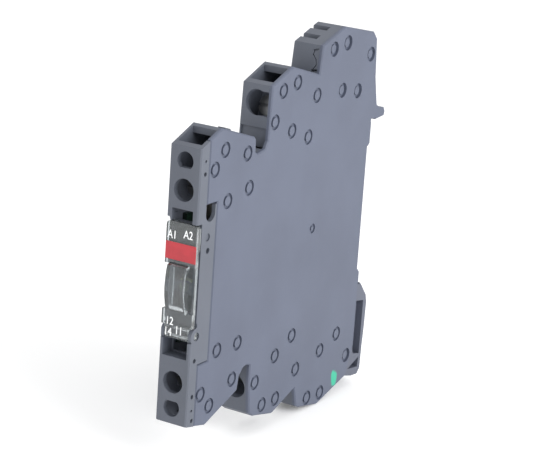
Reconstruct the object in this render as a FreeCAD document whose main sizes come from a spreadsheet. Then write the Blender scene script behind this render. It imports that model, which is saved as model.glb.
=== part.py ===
import FreeCAD, Part
import math
import os
import Sketcher

# Slim control relay for a 35 mm top-hat rail.
# Frame: X is the thin direction with the side cover on +X, the front faces -Y, Z is up.
# The origin is the middle of the face that seats on the rail.

VECTOR = FreeCAD.Vector
PLAIN = FreeCAD.Rotation()

SIZES = (
    ("module_width", 6.8),
    ("side_wall", 0.8),
    ("front_depth", 62.4),
    ("middle_depth", 39.8),
    ("rear_depth", 22.2),
    ("front_top", 21.9),
    ("middle_top", 30.1),
    ("rear_top", 35.6),
    ("front_base", 31.2),
    ("middle_base", 34.9),
    ("rear_base", 38.4),
    ("top_rise", 2.8),
    ("chamfer_run", 6.7),
    ("rail_height", 35.4),
    ("relay_length", 28.0),
    ("relay_height", 15.0),
    ("screw_diameter", 2.5),
    ("cage_travel", 1.6),
    ("peg_radius", 1.52),
    ("edge_bevel", 0.24),
    ("screw_depth", 3.0),
    ("foot_travel", 2.5),
)

os.makedirs("parts", exist_ok=True)
doc = FreeCAD.newDocument("ControlRelay")
sheet = doc.addObject("Spreadsheet::Sheet", "Sizes")
for row, (alias, size) in enumerate(SIZES, start=1):
    sheet.set("A%d" % row, alias)
    sheet.set("B%d" % row, str(size))
    sheet.setAlias("B%d" % row, alias)
doc.recompute()


class Length:
    """A size together with the spreadsheet formula that gives it."""

    def __init__(self, value, formula):
        self.value = float(value)
        self.formula = formula

    def __add__(self, other):
        return Length(self.value + number(other), "(%s + %s)" % (self.formula, formula(other)))

    __radd__ = __add__

    def __neg__(self):
        return Length(-self.value, "(0 - %s)" % self.formula)

    def __sub__(self, other):
        return Length(self.value - number(other), "(%s - %s)" % (self.formula, formula(other)))

    def __rsub__(self, other):
        return Length(number(other) - self.value, "(%s - %s)" % (formula(other), self.formula))

    def __mul__(self, other):
        return Length(self.value * number(other), "(%s * %s)" % (self.formula, formula(other)))

    __rmul__ = __mul__

    def __truediv__(self, other):
        return Length(self.value / number(other), "(%s / %s)" % (self.formula, formula(other)))

    def __rtruediv__(self, other):
        return Length(number(other) / self.value, "(%s / %s)" % (formula(other), self.formula))


def number(item):
    """Plain value of a Length or a number."""
    return item.value if isinstance(item, Length) else float(item)


def formula(item):
    """Expression text of a Length or a number."""
    return item.formula if isinstance(item, Length) else "(%.5f)" % item


def bind(owner, path, item):
    """Ties one property to the spreadsheet when the size comes from it."""
    if isinstance(item, Length):
        owner.setExpression(path, item.formula)


class Sheet:
    """Gives every spreadsheet size as a Length."""

    def __getattr__(self, alias):
        return Length(dict(SIZES)[alias], "Sizes.%s" % alias)


S = Sheet()
HALF = S.module_width * 0.5
INNER = HALF - S.side_wall
FRONT = -S.front_depth
MIDDLE = -S.middle_depth
REAR = -S.rear_depth
SEAT = S.rail_height * 0.5


# ---------------------------------------------------------------- helpers

def hold_point(sketch, geometry, position, a, b):
    """Fixes a sketch point at (a, b) from the sketch origin."""
    for kind, axis, item in (("DistanceX", -2, a), ("DistanceY", -1, b)):
        if abs(number(item)) < 1e-7:
            sketch.addConstraint(Sketcher.Constraint("PointOnObject", geometry, position, axis))
            continue
        rule = Sketcher.Constraint(kind, -1, 1, geometry, position, number(item))
        index = sketch.addConstraint(rule)
        bind(sketch, "Constraints[%d]" % index, item)


def draw_outline(sketch, points):
    """Closed outline of straight lines with every corner fixed."""
    first = sketch.GeometryCount
    count = len(points)
    corners = [VECTOR(number(a), number(b), 0) for a, b in points]
    for i in range(count):
        sketch.addGeometry(Part.LineSegment(corners[i], corners[(i + 1) % count]), False)
    for i in range(count):
        follower = first + (i + 1) % count
        sketch.addConstraint(Sketcher.Constraint("Coincident", first + i, 2, follower, 1))
    for i, (a, b) in enumerate(points):
        hold_point(sketch, first + i, 1, a, b)


def draw_circle(sketch, a, b, radius):
    """Circle with its centre and radius fixed."""
    shape = Part.Circle(VECTOR(number(a), number(b), 0), VECTOR(0, 0, 1), number(radius))
    index = sketch.addGeometry(shape, False)
    rule = sketch.addConstraint(Sketcher.Constraint("Radius", index, number(radius)))
    bind(sketch, "Constraints[%d]" % rule, radius)
    hold_point(sketch, index, 3, a, b)


def side_sketch(body, name, x):
    """Sketch in the side plane (Y across, Z up) at the given X."""
    sketch = body.newObject("Sketcher::SketchObject", name)
    sketch.AttachmentSupport = [(body.Origin.OriginFeatures[5], "")]
    sketch.MapMode = "FlatFace"
    sketch.AttachmentOffset = FreeCAD.Placement(VECTOR(0, 0, number(x)), PLAIN)
    bind(sketch, "AttachmentOffset.Base.z", x)
    return sketch


def extrude(body, name, sketch, length, cutting=False):
    """Pad towards +X, or a pocket that also runs towards +X."""
    kind = "PartDesign::Pocket" if cutting else "PartDesign::Pad"
    feature = body.newObject(kind, name)
    feature.Profile = sketch
    feature.Length = number(length)
    bind(feature, "Length", length)
    feature.Reversed = cutting
    body.Tip = feature
    sketch.Visibility = False
    doc.recompute()
    return feature


def prism(body, name, points, x0, x1, cutting=False):
    """Outline in the side plane carried from x0 to x1."""
    sketch = side_sketch(body, name + "_sketch", x0)
    draw_outline(sketch, points)
    return extrude(body, name, sketch, x1 - x0, cutting)


def discs(body, name, circles, x0, x1, cutting=False):
    """Circles (y, z, radius) in the side plane carried from x0 to x1."""
    sketch = side_sketch(body, name + "_sketch", x0)
    for y, z, radius in circles:
        draw_circle(sketch, y, z, radius)
    return extrude(body, name, sketch, x1 - x0, cutting)


def bevelled(body, name, size, chosen):
    """Bevels the edges of the body's last feature whose two ends are both chosen."""
    base = body.Tip
    edges = ["Edge%d" % index for index, edge in enumerate(base.Shape.Edges, start=1)
             if all(chosen(vertex.Point) for vertex in edge.Vertexes)]
    feature = body.newObject("PartDesign::Chamfer", name)
    feature.Base = (base, edges)
    feature.Size = number(size)
    bind(feature, "Size", size)
    body.Tip = feature
    doc.recompute()
    return feature


def at_x(x):
    """Picks the points that lie in the plane at x."""
    return lambda point: abs(point.x - number(x)) < 1e-4


def new_body(name):
    """Empty body for one piece."""
    return doc.addObject("PartDesign::Body", name)


def put(owner, x, y, z, rotation=PLAIN):
    """Places a primitive and ties its position to the spreadsheet."""
    owner.Placement = FreeCAD.Placement(VECTOR(number(x), number(y), number(z)), rotation)
    for axis, item in zip("xyz", (x, y, z)):
        bind(owner, "Placement.Base.%s" % axis, item)
    return owner


def block(name, x0, x1, y0, y1, z0, z1):
    """Box between two corners."""
    box = doc.addObject("Part::Box", name)
    for path, item in (("Length", x1 - x0), ("Width", y1 - y0), ("Height", z1 - z0)):
        setattr(box, path, number(item))
        bind(box, path, item)
    return put(box, x0, y0, z0)


def rod(name, radius, length, x, y, z, rotation=PLAIN):
    """Cylinder that starts at the point and runs along its turned Z axis."""
    bar = doc.addObject("Part::Cylinder", name)
    bar.Radius = number(radius)
    bar.Height = number(length)
    bind(bar, "Radius", radius)
    bind(bar, "Height", length)
    return put(bar, x, y, z, rotation)


def joined(name, shapes):
    """One solid out of several."""
    result = doc.addObject("Part::MultiFuse", name)
    result.Shapes = shapes
    result.Refine = True
    return result


def carved(name, base, tools):
    """A solid with the tools taken away."""
    result = doc.addObject("Part::Cut", name)
    result.Base = base
    result.Tool = tools[0] if len(tools) == 1 else joined(name + "_tools", tools)
    result.Refine = True
    return result


BACKWARD = FreeCAD.Rotation(VECTOR(1, 0, 0), -90)
SIDEWAYS = FreeCAD.Rotation(VECTOR(0, 1, 0), 90)


class Terminal:
    """Local frame of one screw clamp: y' runs into the housing along the screw."""

    def __init__(self, node, y, z, tilt, side, sink):
        self.node = node
        self.turn = math.radians(tilt)
        self.y = y + sink * math.cos(self.turn)
        self.z = z + sink * math.sin(self.turn)
        self.side = side
        self.sink = sink
        self.rotation = FreeCAD.Rotation(VECTOR(1, 0, 0), tilt)

    def point(self, inward, up):
        """Model Y and Z of a local point."""
        up = up * self.side
        c, s = math.cos(self.turn), math.sin(self.turn)
        return self.y + inward * c - up * s, self.z + inward * s + up * c

    def plate(self, body, name, x0, x1, in0, in1, up0, up1, cutting=False):
        """Local rectangle carried from x0 to x1."""
        corners = ((in0, up0), (in1, up0), (in1, up1), (in0, up1))
        return prism(body, name, [self.point(a, b) for a, b in corners], x0, x1, cutting)

    def bore(self, name, radius, start, length, x=0.0):
        """Round bore along the screw axis."""
        y, z = self.point(start, 0.0)
        turned = self.rotation.multiply(BACKWARD)
        return rod(self.node + name, radius, length, x, y, z, turned)


TERMINALS = (
    Terminal("a1", FRONT, S.front_top - 8.2, 0.0, 1, S.screw_depth),
    Terminal("a2", MIDDLE + 0.2, S.middle_top - 3.5, -17.0, 1, S.screw_depth + 0.4),
    Terminal("c14", FRONT, 8.1 - S.front_base, 0.0, -1, S.screw_depth),
    Terminal("c12", MIDDLE - 1.0, 5.2 - S.middle_base, 20.0, -1, S.screw_depth - 0.4),
    Terminal("c11", REAR - 0.4, 4.4 - S.rear_base, 20.0, -1, 0.0),
)
A1, A2, C14, C12, C11 = TERMINALS

HEAD_IN = 0.9
HEAD_LONG = 1.4
LEDGE_IN = 2.45
LEDGE_THICK = 0.5
CAGE_IN = 3.1
BAR_IN = 6.5
BAR_THICK = 0.6
SHAFT_RADIUS = S.screw_diameter * 0.5
PIVOT_Y = FRONT + 1.9
PIVOT_Z = -13.9

# ---------------------------------------------------------------- outline of the housing

TOP = (
    (FRONT, S.front_top),
    (FRONT + S.chamfer_run, S.front_top + S.top_rise),
    (MIDDLE - 4.8, S.front_top - 0.6),
    (MIDDLE - 4.3, S.front_top - 1.1),
    (MIDDLE - 4.2, S.front_top - 3.6),
    (MIDDLE - 3.4, S.front_top - 4.1),
    (MIDDLE - 0.8, S.front_top - 3.6),
    (MIDDLE, S.front_top - 2.3),
    (MIDDLE + 0.4, S.middle_top),
    (MIDDLE + 0.7 + S.chamfer_run, S.middle_top + S.top_rise),
    (REAR - 0.2, S.middle_top),
    (REAR + 0.5, S.rear_top),
    (REAR + 2.1 + S.chamfer_run, S.rear_top + S.top_rise),
    (-1.8, S.rear_top + 0.4),
    (-0.4, S.rear_top - 1.1),
    (0.3, SEAT + 8.8),
    (1.0, SEAT + 5.7),
    (1.7, SEAT + 2.9),
    (2.6, SEAT + 2.3),
    (4.9, SEAT + 1.8),
    (5.3, SEAT + 1.0),
    (5.1, SEAT),
    (1.6, SEAT - 0.3),
    (1.3, SEAT),
    (-0.15, SEAT),
    (-0.15, SEAT - 0.4),
    (0.0, SEAT - 0.4),
)
RAIL_SIDE = (
    (0.0, SEAT - 5.1),
    (-0.9, SEAT - 5.7),
    (-0.9, 3.9 - SEAT),
    (0.0, 3.1 - SEAT),
    (0.0, 0.5 - SEAT),
    (-0.15, 0.4 - SEAT),
)
HEEL_DROP = 1.4
HEEL_Y, HEEL_Z = -2.4, 1.4 - S.rear_base
BOTTOM = (
    (-0.15, -SEAT - 13.0),
    (HEEL_Y, HEEL_Z),
    (REAR + 8.6, -S.rear_base - 1.8),
    (REAR + 1.3, -S.rear_base - 0.5),
    (REAR, 0.2 - S.rear_base),
    (REAR - 1.1, 4.3 - S.rear_base),
    (MIDDLE + 8.4, -S.middle_base - 2.3),
    (MIDDLE + 1.2, -S.middle_base - 0.8),
    (MIDDLE - 0.3, 0.2 - S.middle_base),
    (MIDDLE - 1.1, 6.4 - S.middle_base),
    (MIDDLE - 1.1, 10.3 - S.middle_base),
    (MIDDLE - 2.2, 10.7 - S.middle_base),
    (MIDDLE - 3.6, 10.4 - S.middle_base),
    (MIDDLE - 4.8, 9.1 - S.middle_base),
    (MIDDLE - 5.3, 2.6 - S.front_base),
    (FRONT + S.chamfer_run, -S.front_base - HEEL_DROP),
)
OUTLINE = TOP + RAIL_SIDE + BOTTOM + ((FRONT, -S.front_base),)

LIP_IN = 2.6
STEP_IN = 6.0
STEP_TOP = 10.7
STEP_LOW = -19.5


def front_edge(gap, low_first):
    """Stepped joint line between the front strip and the side cover."""
    low = -S.front_base - HEEL_DROP * (LIP_IN + gap) / S.chamfer_run
    high = S.front_top + S.top_rise * (LIP_IN + gap) / S.chamfer_run
    line = [
        (FRONT + LIP_IN + gap, low),
        (FRONT + LIP_IN + gap, STEP_LOW - gap),
        (FRONT + STEP_IN + gap, STEP_LOW - gap),
        (FRONT + STEP_IN + gap, STEP_TOP + gap),
        (FRONT + LIP_IN + gap, STEP_TOP + gap),
        (FRONT + LIP_IN + gap, high),
    ]
    return tuple(line if low_first else reversed(line))


# ---------------------------------------------------------------- base shell

shell_body = new_body("base_shell_body")
prism(shell_body, "shell_block", OUTLINE, -HALF, INNER)
bevelled(shell_body, "shell_edges", S.edge_bevel, at_x(-HALF))
strip = ((FRONT, -S.front_base),) + front_edge(0.0, True) + ((FRONT, S.front_top),)
prism(shell_body, "front_strip", strip, INNER - 0.4, HALF)
bevelled(shell_body, "strip_edge", S.edge_bevel,
         lambda point: at_x(HALF)(point) and abs(point.y - number(FRONT)) < 1e-4)

CAVITY = (
    (FRONT + 1.1, 0.8 - S.front_base),
    (FRONT + 1.1, -19.2),
    (FRONT + 3.6, -19.2),
    (FRONT + 3.6, -11.6),
    (FRONT + 2.4, -11.6),
    (FRONT + 2.4, 8.8),
    (FRONT + 1.1, 8.8),
    (FRONT + 1.1, S.front_top - 0.7),
    (FRONT + 0.2 + S.chamfer_run, S.front_top + S.top_rise - 1.2),
    (MIDDLE - 5.4, S.front_top - 1.55),
    (MIDDLE - 5.2, S.front_top - 4.8),
    (MIDDLE - 3.7, S.front_top - 5.25),
    (MIDDLE - 0.2, S.front_top - 4.7),
    (MIDDLE + 1.1, S.front_top - 2.9),
    (MIDDLE + 1.5, S.middle_top - 0.8),
    (MIDDLE + 0.9 + S.chamfer_run, S.middle_top + S.top_rise - 1.2),
    (REAR - 0.3, S.middle_top - 1.15),
    (REAR + 1.0, S.middle_top - 0.9),
    (REAR + 1.6, S.rear_top - 2.6),
    (REAR + 2.1 + S.chamfer_run, S.rear_top + S.top_rise - 3.3),
    (-2.7, S.rear_top - 1.6),
    (-1.6, S.rear_top - 2.2),
    (-0.9, SEAT + 8.4),
    (-0.9, SEAT + 3.4),
    (-1.1, SEAT - 4.5),
    (-2.0, SEAT - 5.0),
    (-2.0, 3.2 - SEAT),
    (-1.1, 2.6 - SEAT),
    (-1.1, -SEAT - 0.9),
    (0.5, -SEAT - 1.1),
    (0.5, -SEAT - 14.6),
    (-1.6, -SEAT - 14.6),
    (HEEL_Y - 0.9, HEEL_Z + 0.95),
    (REAR + 8.6, -S.rear_base - 0.65),
    (REAR + 1.7, 0.55 - S.rear_base),
    (REAR + 1.1, 1.0 - S.rear_base),
    (REAR - 0.2, 5.6 - S.rear_base),
    (MIDDLE + 8.5, -S.middle_base - 1.1),
    (MIDDLE + 1.6, 0.25 - S.middle_base),
    (MIDDLE + 0.8, 0.9 - S.middle_base),
    (MIDDLE, 6.4 - S.middle_base),
    (MIDDLE, 11.1 - S.middle_base),
    (MIDDLE - 2.0, 11.8 - S.middle_base),
    (MIDDLE - 4.2, 11.4 - S.middle_base),
    (MIDDLE - 5.8, 9.6 - S.middle_base),
    (MIDDLE - 6.3, 3.4 - S.front_base),
    (FRONT + 0.1 + S.chamfer_run, -S.front_base - 0.2),
)
prism(shell_body, "cavity", CAVITY, -INNER, INNER, True)

for clamp in TERMINALS:
    ledge = (clamp.node + "_ledge", -HALF, INNER, LEDGE_IN, LEDGE_IN + LEDGE_THICK)
    clamp.plate(shell_body, *ledge, -2.6, 2.6)

RELAY_FRONT = REAR - 23.4
RELAY_BACK = RELAY_FRONT + S.relay_length
RELAY_LOW = -8.0
RELAY_TOP = RELAY_LOW + S.relay_height
FOOT_TOP = -SEAT - 1.5
FOOT_LOW = -SEAT - 11.8
RIBS = (
    ("relay_rib_front", RELAY_FRONT + 8.0, RELAY_FRONT + 12.0, RELAY_LOW - 0.9, RELAY_LOW - 0.1),
    ("relay_rib_rear", RELAY_BACK - 3.4, RELAY_BACK - 0.4, RELAY_LOW - 0.9, RELAY_LOW - 0.1),
    ("relay_rib_top", RELAY_FRONT + 11.0, RELAY_BACK - 1.0, RELAY_TOP + 0.1, RELAY_TOP + 0.9),
    ("relay_rib_back", RELAY_BACK + 0.1, RELAY_BACK + 0.9, RELAY_LOW + 1.0, RELAY_TOP + 0.9),
    ("spring_seat", -6.6, -2.9, HEEL_Z + 1.1, HEEL_Z + 1.8),
)
for name, y0, y1, z0, z1 in RIBS:
    prism(shell_body, name, ((y0, z0), (y1, z0), (y1, z1), (y0, z1)), -HALF, INNER)
GUIDE = (
    (-1.6, -SEAT - 14.0),
    (-0.8, -SEAT - 13.6),
    (-0.8, -SEAT - 1.0),
    (-1.6, -SEAT - 1.0),
)
prism(shell_body, "foot_guide", GUIDE, -HALF, -INNER + 1.0)
SEAT_RIB = ((-1.5, 3.0 - SEAT), (0.0, 3.0 - SEAT), (0.0, SEAT - 5.0), (-1.5, SEAT - 5.0))
prism(shell_body, "seat_rib", SEAT_RIB, -1.3, 1.3)
CATCH = ((FRONT + 8.2, S.front_top + 1.5), (FRONT + 8.6, S.front_top + 2.5),
         (FRONT + 10.3, S.front_top + 2.0), (FRONT + 10.8, S.front_top + 0.8))
prism(shell_body, "cover_catch", CATCH, 1.0, INNER)

PEGS = (
    ("front_peg", FRONT + 15.6, S.front_top - 3.4),
    ("middle_peg", MIDDLE + 14.7, S.middle_top - 12.0),
    ("rear_peg", REAR + 10.0, S.rear_top - 0.6),
    ("low_front_peg", FRONT + 15.1, 5.5 - S.front_base),
    ("low_middle_peg", MIDDLE + 16.3, 4.9 - S.middle_base),
    ("low_rear_peg", REAR + 4.1, 0.8 - S.rear_base),
)
boss_circles = [(y, z, 1.5) for name, y, z in PEGS[:5]]
discs(shell_body, "peg_bosses", boss_circles, -HALF, INNER - 0.2)
discs(shell_body, "peg_sockets", [(y, z, 0.82) for name, y, z in PEGS[:5]], 0.2, INNER, True)

BACK = FRONT + 1.6
cutters = [
    block("lever_pocket", -HALF - 0.1, HALF + 0.1, FRONT - 0.1, BACK, -12.3, 7.7),
    block("pivot_pocket", -HALF + 0.7, HALF - 0.7, FRONT - 0.1, FRONT + 3.0, -18.2, -11.7),
    block("eject_slot", -2.3, 2.3, FRONT - 0.1, FRONT + 3.8, -17.9, -15.5),
    block("finger_recess", -2.3, 2.3, FRONT - 0.1, FRONT + 2.9, 7.5, 10.1),
    block("edge_notch", -HALF - 0.1, -HALF + 0.8, FRONT - 0.1, FRONT + 1.0, 7.5, 8.3),
    block("window_low", -2.2, 2.2, BACK - 0.1, FRONT + 2.6, -9.4, -6.0),
    block("window_high", -2.2, 2.2, BACK - 0.1, FRONT + 2.6, -3.9, -0.5),
    rod("guide_bore", 0.84, 2.0, 0.0, FRONT + 1.0, -4.95, BACKWARD),
    rod("pivot_bore", 0.85, S.module_width + 1.0, -HALF - 0.5, PIVOT_Y, PIVOT_Z, SIDEWAYS),
    rod("strip_round", 1.5, S.side_wall + 0.6, INNER - 0.3, FRONT + 4.15, 9.2, SIDEWAYS),
    block("strip_slot", INNER - 0.3, HALF + 0.1, FRONT + 2.65, FRONT + 5.65, 9.2, 10.75),
    block("a1_entry", -INNER, INNER, FRONT + 1.1, FRONT + S.chamfer_run - 0.9,
          S.front_top - 1.6, S.front_top + 4.0),
    block("a2_entry", -INNER, INNER, MIDDLE + 1.6, MIDDLE + S.chamfer_run - 0.2,
          S.middle_top - 1.6, S.middle_top + 4.0),
    block("c14_entry", -INNER, INNER, FRONT + 1.2, FRONT + 5.8,
          -S.front_base - 3.0, 1.2 - S.front_base),
    block("c12_entry", -INNER, INNER, MIDDLE + 1.9, MIDDLE + 6.6,
          -S.middle_base - 4.0, 1.0 - S.middle_base),
    block("c11_entry", -INNER, INNER, REAR + 2.0, REAR + 6.7,
          -S.rear_base - 4.0, 1.2 - S.rear_base),
]
for offset in (3.2, 6.8):
    cutters.append(block("comb_slot", -HALF - 0.1, 0.5, REAR + offset - 0.75, REAR + offset + 0.75,
                         S.rear_top - 1.0, S.rear_top + 5.0))
for clamp, radius in ((A1, 2.15), (A2, 2.4), (C14, 2.15), (C12, 2.4), (C11, 2.1)):
    cutters.append(clamp.bore("_access", radius, -4.0 - clamp.sink, 6.3 + clamp.sink))
    cutters.append(clamp.bore("_shaft_way", SHAFT_RADIUS + 0.1, 1.0, 3.0))

cutters.append(block("a2_open_side", 0.0, INNER, MIDDLE - 1.0, MIDDLE + 3.4,
                     S.middle_top - 6.0, S.middle_top - 1.3))


def probe_hole(name, z, sign):
    """Round hole with one flat side, as an intersection of a rod and a box."""
    bore = rod(name + "_bore", 1.75, 3.0, 0.0, FRONT - 0.5, z, BACKWARD)
    low, high = (z - 1.3, z + 2.0) if sign > 0 else (z - 2.0, z + 1.3)
    keeper = block(name + "_flat", -2.0, 2.0, FRONT - 0.6, FRONT + 2.6, low, high)
    shape = doc.addObject("Part::MultiCommon", name)
    shape.Shapes = [bore, keeper]
    return shape


swing_disc = rod("swing_disc", 2.58, S.module_width + 0.2, -HALF - 0.1, PIVOT_Y, PIVOT_Z, SIDEWAYS)
swing_area = block("swing_area", -HALF - 0.1, HALF + 0.1, FRONT - 0.1, PIVOT_Y,
                   PIVOT_Z - 1.0, PIVOT_Z + 2.7)
swing_front = doc.addObject("Part::MultiCommon", "swing_front")
swing_front.Shapes = [swing_disc, swing_area]
pivot_boss = rod("pivot_boss", 1.8, S.module_width + 0.4, -HALF - 0.2, PIVOT_Y, PIVOT_Z, SIDEWAYS)
cutters.append(carved("swing_room", swing_front, [pivot_boss]))

cutters.append(block("middle_step", -HALF + 0.4, INNER, MIDDLE - 1.2, MIDDLE + 0.45,
                     S.front_top - 4.5, S.front_top))
for x in (-2.6, -1.5, -0.4, 0.7):
    cutters.append(block("arch_groove", x, x + 0.45, MIDDLE - 1.3, MIDDLE - 0.7,
                         6.6 - S.middle_base, 10.2 - S.middle_base))


def seam(name, x0, z0, x1, z1, wide):
    """Narrow groove across the front of the rear tier, from one point to the next."""
    long = math.hypot(x1 - x0, z1 - z0)
    slope = math.degrees(math.atan2(z1 - z0, x1 - x0))
    lead = 0.07 / long
    x0, z0 = x0 - (x1 - x0) * lead, z0 - (z1 - z0) * lead
    cutter = doc.addObject("Part::Box", name)
    cutter.Length = long + 0.14
    cutter.Width = 1.2
    cutter.Height = wide
    turned = FreeCAD.Rotation(VECTOR(0, 1, 0), -slope)
    return put(cutter, x0, REAR - 0.5, S.rear_top + z0, turned)


SEAM_LINE = ((1.5, -1.0), (1.2, -2.0), (2.0, -2.9), (2.15, -3.9), (1.4, -4.9))
for (x0, z0), (x1, z1) in zip(SEAM_LINE, SEAM_LINE[1:]):
    cutters.append(seam("rear_seam", x0, z0, x1, z1, 0.16))
cutters.append(seam("seam_head", 1.35, -1.3, 2.4, -1.0, 0.35))
cutters.append(seam("seam_foot", 1.3, -5.3, 2.58, -5.1, 0.4))

cutters.append(probe_hole("top_probe", S.front_top - 2.75, 1))
cutters.append(probe_hole("low_probe", 3.1 - S.front_base, -1))
for inward, z, radius in ((1.6, 17.0, 0.42), (1.6, 19.4, 0.28), (3.9, 2.2, 0.55), (1.7, -18.6, 0.45),
                          (1.6, -25.6, 0.45), (1.7, -28.4, 0.28), (1.9, -30.4, 0.42)):
    cutters.append(rod("strip_pin", radius, 0.7, HALF - 0.6, FRONT + inward, z, SIDEWAYS))
cutters.append(rod("strip_dent", 0.75, 0.5, HALF - 0.25, FRONT + 3.6, 4.8, SIDEWAYS))
base_shell = carved("base_shell", shell_body, cutters)

# ---------------------------------------------------------------- side cover

cover_body = new_body("side_cover_body")
SEAM = 0.32
prism(cover_body, "cover_plate", TOP[1:] + RAIL_SIDE + BOTTOM + front_edge(SEAM, True),
      INNER + 0.02, HALF)
bevelled(cover_body, "cover_edges", S.edge_bevel, at_x(HALF))

RINGS = {
    (FRONT, S.front_top): ((7.9, -1.4), (15.6, -3.4), (4.8, -4.6), (16.9, -10.2), (9.7, -11.4)),
    (MIDDLE, S.middle_top): ((2.0, -7.1), (8.4, -9.8), (4.3, -1.4), (9.3, -0.5), (14.7, -12.0)),
    (REAR, S.rear_top): ((-0.6, -9.6),),
    (FRONT, -S.front_base): ((16.3, 12.5), (15.1, 5.5), (9.2, 12.8), (4.4, 5.3), (7.6, 2.2)),
    (MIDDLE, -S.middle_base): ((7.9, 9.9), (13.9, 12.6), (1.0, 6.2), (4.2, 0.7), (9.2, 0.6),
                               (16.3, 4.9)),
    (REAR, -S.rear_base): ((8.0, 10.0), (14.4, 12.0), (4.1, 0.8), (9.3, 0.5)),
}
DIMPLES = {
    (REAR, S.rear_top): ((9.2, -10.0), (15.4, -11.0), (19.7, -4.1), (4.8, -1.2), (10.0, -0.6)),
    (REAR, -S.rear_base): ((19.2, 6.1),),
}


def spread(table):
    """Centres of the marks, each measured from its own tier."""
    return [(y + dy, z + dz) for (y, z), marks in table.items() for dy, dz in marks]


grooves = side_sketch(cover_body, "ring_sketch", HALF - 0.4)
for y, z in spread(RINGS):
    draw_circle(grooves, y, z, S.peg_radius)
    draw_circle(grooves, y, z, S.peg_radius - 0.6)
extrude(cover_body, "ring_grooves", grooves, 0.6, True)
dimple_circles = [(y, z, S.peg_radius) for y, z in spread(DIMPLES)]
discs(cover_body, "dimples", dimple_circles, HALF - 0.55, HALF + 0.1, True)
core_circles = [(y, z, S.peg_radius - 0.65) for y, z in spread(DIMPLES)]
discs(cover_body, "dimple_cores", core_circles, HALF - 0.6, HALF - 0.25)
GATE = (REAR + 1.3, -1.2)
discs(cover_body, "gate_recess", [(*GATE, 1.0)], HALF - 0.3, HALF + 0.1, True)
discs(cover_body, "gate_stub", [(*GATE, 0.45)], HALF - 0.4, HALF - 0.05)
discs(cover_body, "pegs", [(y, z, 0.8) for name, y, z in PEGS[:5]], 0.6, INNER + 0.3)
prism(cover_body, "cover_guide", GUIDE, INNER - 1.0, INNER + 0.3)
side_cover = cover_body

# ---------------------------------------------------------------- rail foot and its spring

foot_body = new_body("rail_foot_body")
FOOT_HALF = HALF - 0.5
FOOT_OUTLINE = (
    (0.15, -SEAT - 0.1),
    (1.2, -SEAT - 0.1),
    (1.4, 0.2 - SEAT),
    (2.1, -SEAT - 0.4),
    (4.5, -SEAT - 3.2),
    (5.0, -SEAT - 5.0),
    (4.8, -SEAT - 10.6),
    (4.5, -SEAT - 14.3),
    (4.3, -SEAT - 19.4),
    (3.3, -SEAT - 20.5),
    (0.8, -SEAT - 20.3),
    (-2.0, -SEAT - 19.6),
    (-2.1, -SEAT - 19.1),
    (0.25, -SEAT - 13.2),
    (0.15, -SEAT - 12.9),
)
prism(foot_body, "foot_blade", FOOT_OUTLINE, -FOOT_HALF, FOOT_HALF)
WEB = (
    (0.15, -SEAT - 3.6),
    (3.6, -SEAT - 4.2),
    (3.5, -SEAT - 16.0),
    (0.9, -SEAT - 15.4),
    (0.15, -SEAT - 13.4),
)
prism(foot_body, "foot_web_right", WEB, FOOT_HALF - 1.5, FOOT_HALF, True)
prism(foot_body, "foot_web_left", WEB, -FOOT_HALF, -FOOT_HALF + 1.5, True)
SLOT = (
    (3.5, -SEAT - 16.7),
    (3.2, -SEAT - 18.9),
    (-0.9, -SEAT - 18.4),
)
prism(foot_body, "pry_slot", SLOT, -FOOT_HALF, FOOT_HALF, True)
STEM = (
    (-6.3, FOOT_LOW),
    (0.2, FOOT_LOW),
    (0.2, FOOT_TOP),
    (-6.3, FOOT_TOP),
)
prism(foot_body, "foot_stem", STEM, -INNER + 0.15, INNER - 0.15)
SLIDE = (
    (-1.7, FOOT_LOW - 0.5),
    (-0.7, FOOT_LOW - 0.5),
    (-0.7, FOOT_TOP + 0.5),
    (-1.7, FOOT_TOP + 0.5),
)
prism(foot_body, "groove_left", SLIDE, -INNER, -INNER + 1.1, True)
prism(foot_body, "groove_right", SLIDE, INNER - 1.1, INNER, True)
rail_foot = foot_body

COIL_RADIUS = 1.15
WIRE_RADIUS = 0.2
SPRING_LOW = HEEL_Z + 1.82
spring_height = number(FOOT_LOW - SPRING_LOW) - 0.04 - 2 * WIRE_RADIUS
helix = Part.makeHelix(spring_height / 5.0, spring_height, COIL_RADIUS)
wire_section = Part.Wire([Part.makeCircle(WIRE_RADIUS, VECTOR(COIL_RADIUS, 0, 0), VECTOR(0, 1, 0))])
foot_spring = doc.addObject("Part::Feature", "foot_spring")
foot_spring.Shape = Part.Wire(helix.Edges).makePipeShell([wire_section], True, True)
foot_spring.Placement = FreeCAD.Placement(
    VECTOR(0, -4.75, number(SPRING_LOW) + WIRE_RADIUS + 0.02), PLAIN)

# ---------------------------------------------------------------- lever, labels, light

FACE = FRONT + 0.1
LEVER_IN = FRONT + 1.1
lever_body = new_body("ejector_lever_body")
BOW_OUT = ((0.9, -0.5), (1.25, -1.8), (1.45, -3.4), (1.5, -4.9), (1.4, -6.4), (1.1, -7.9),
           (0.7, -9.3))
UPPER = ((FACE, -0.5), (FACE, 7.5), (LEVER_IN, 7.5), (LEVER_IN, -0.5))
prism(lever_body, "upper_plate", UPPER, -HALF + 0.05, HALF - 0.05)
LOWER = ((FACE, -12.2), (FACE, -9.3), (LEVER_IN, -9.3), (LEVER_IN, -12.2))
prism(lever_body, "lower_plate", LOWER, -HALF + 0.05, HALF - 0.05)
bow_face = [(FACE - out, z) for out, z in BOW_OUT]
BOW_SIDE = [(LEVER_IN, -0.2), (FACE, -0.2)] + bow_face + [(FACE, -9.6), (LEVER_IN, -9.6)]
prism(lever_body, "bow_block", BOW_SIDE, -2.1, 2.1)
bow_inner = [(FACE - out + 0.7, z) for out, z in BOW_OUT[1:-1]]
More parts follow.
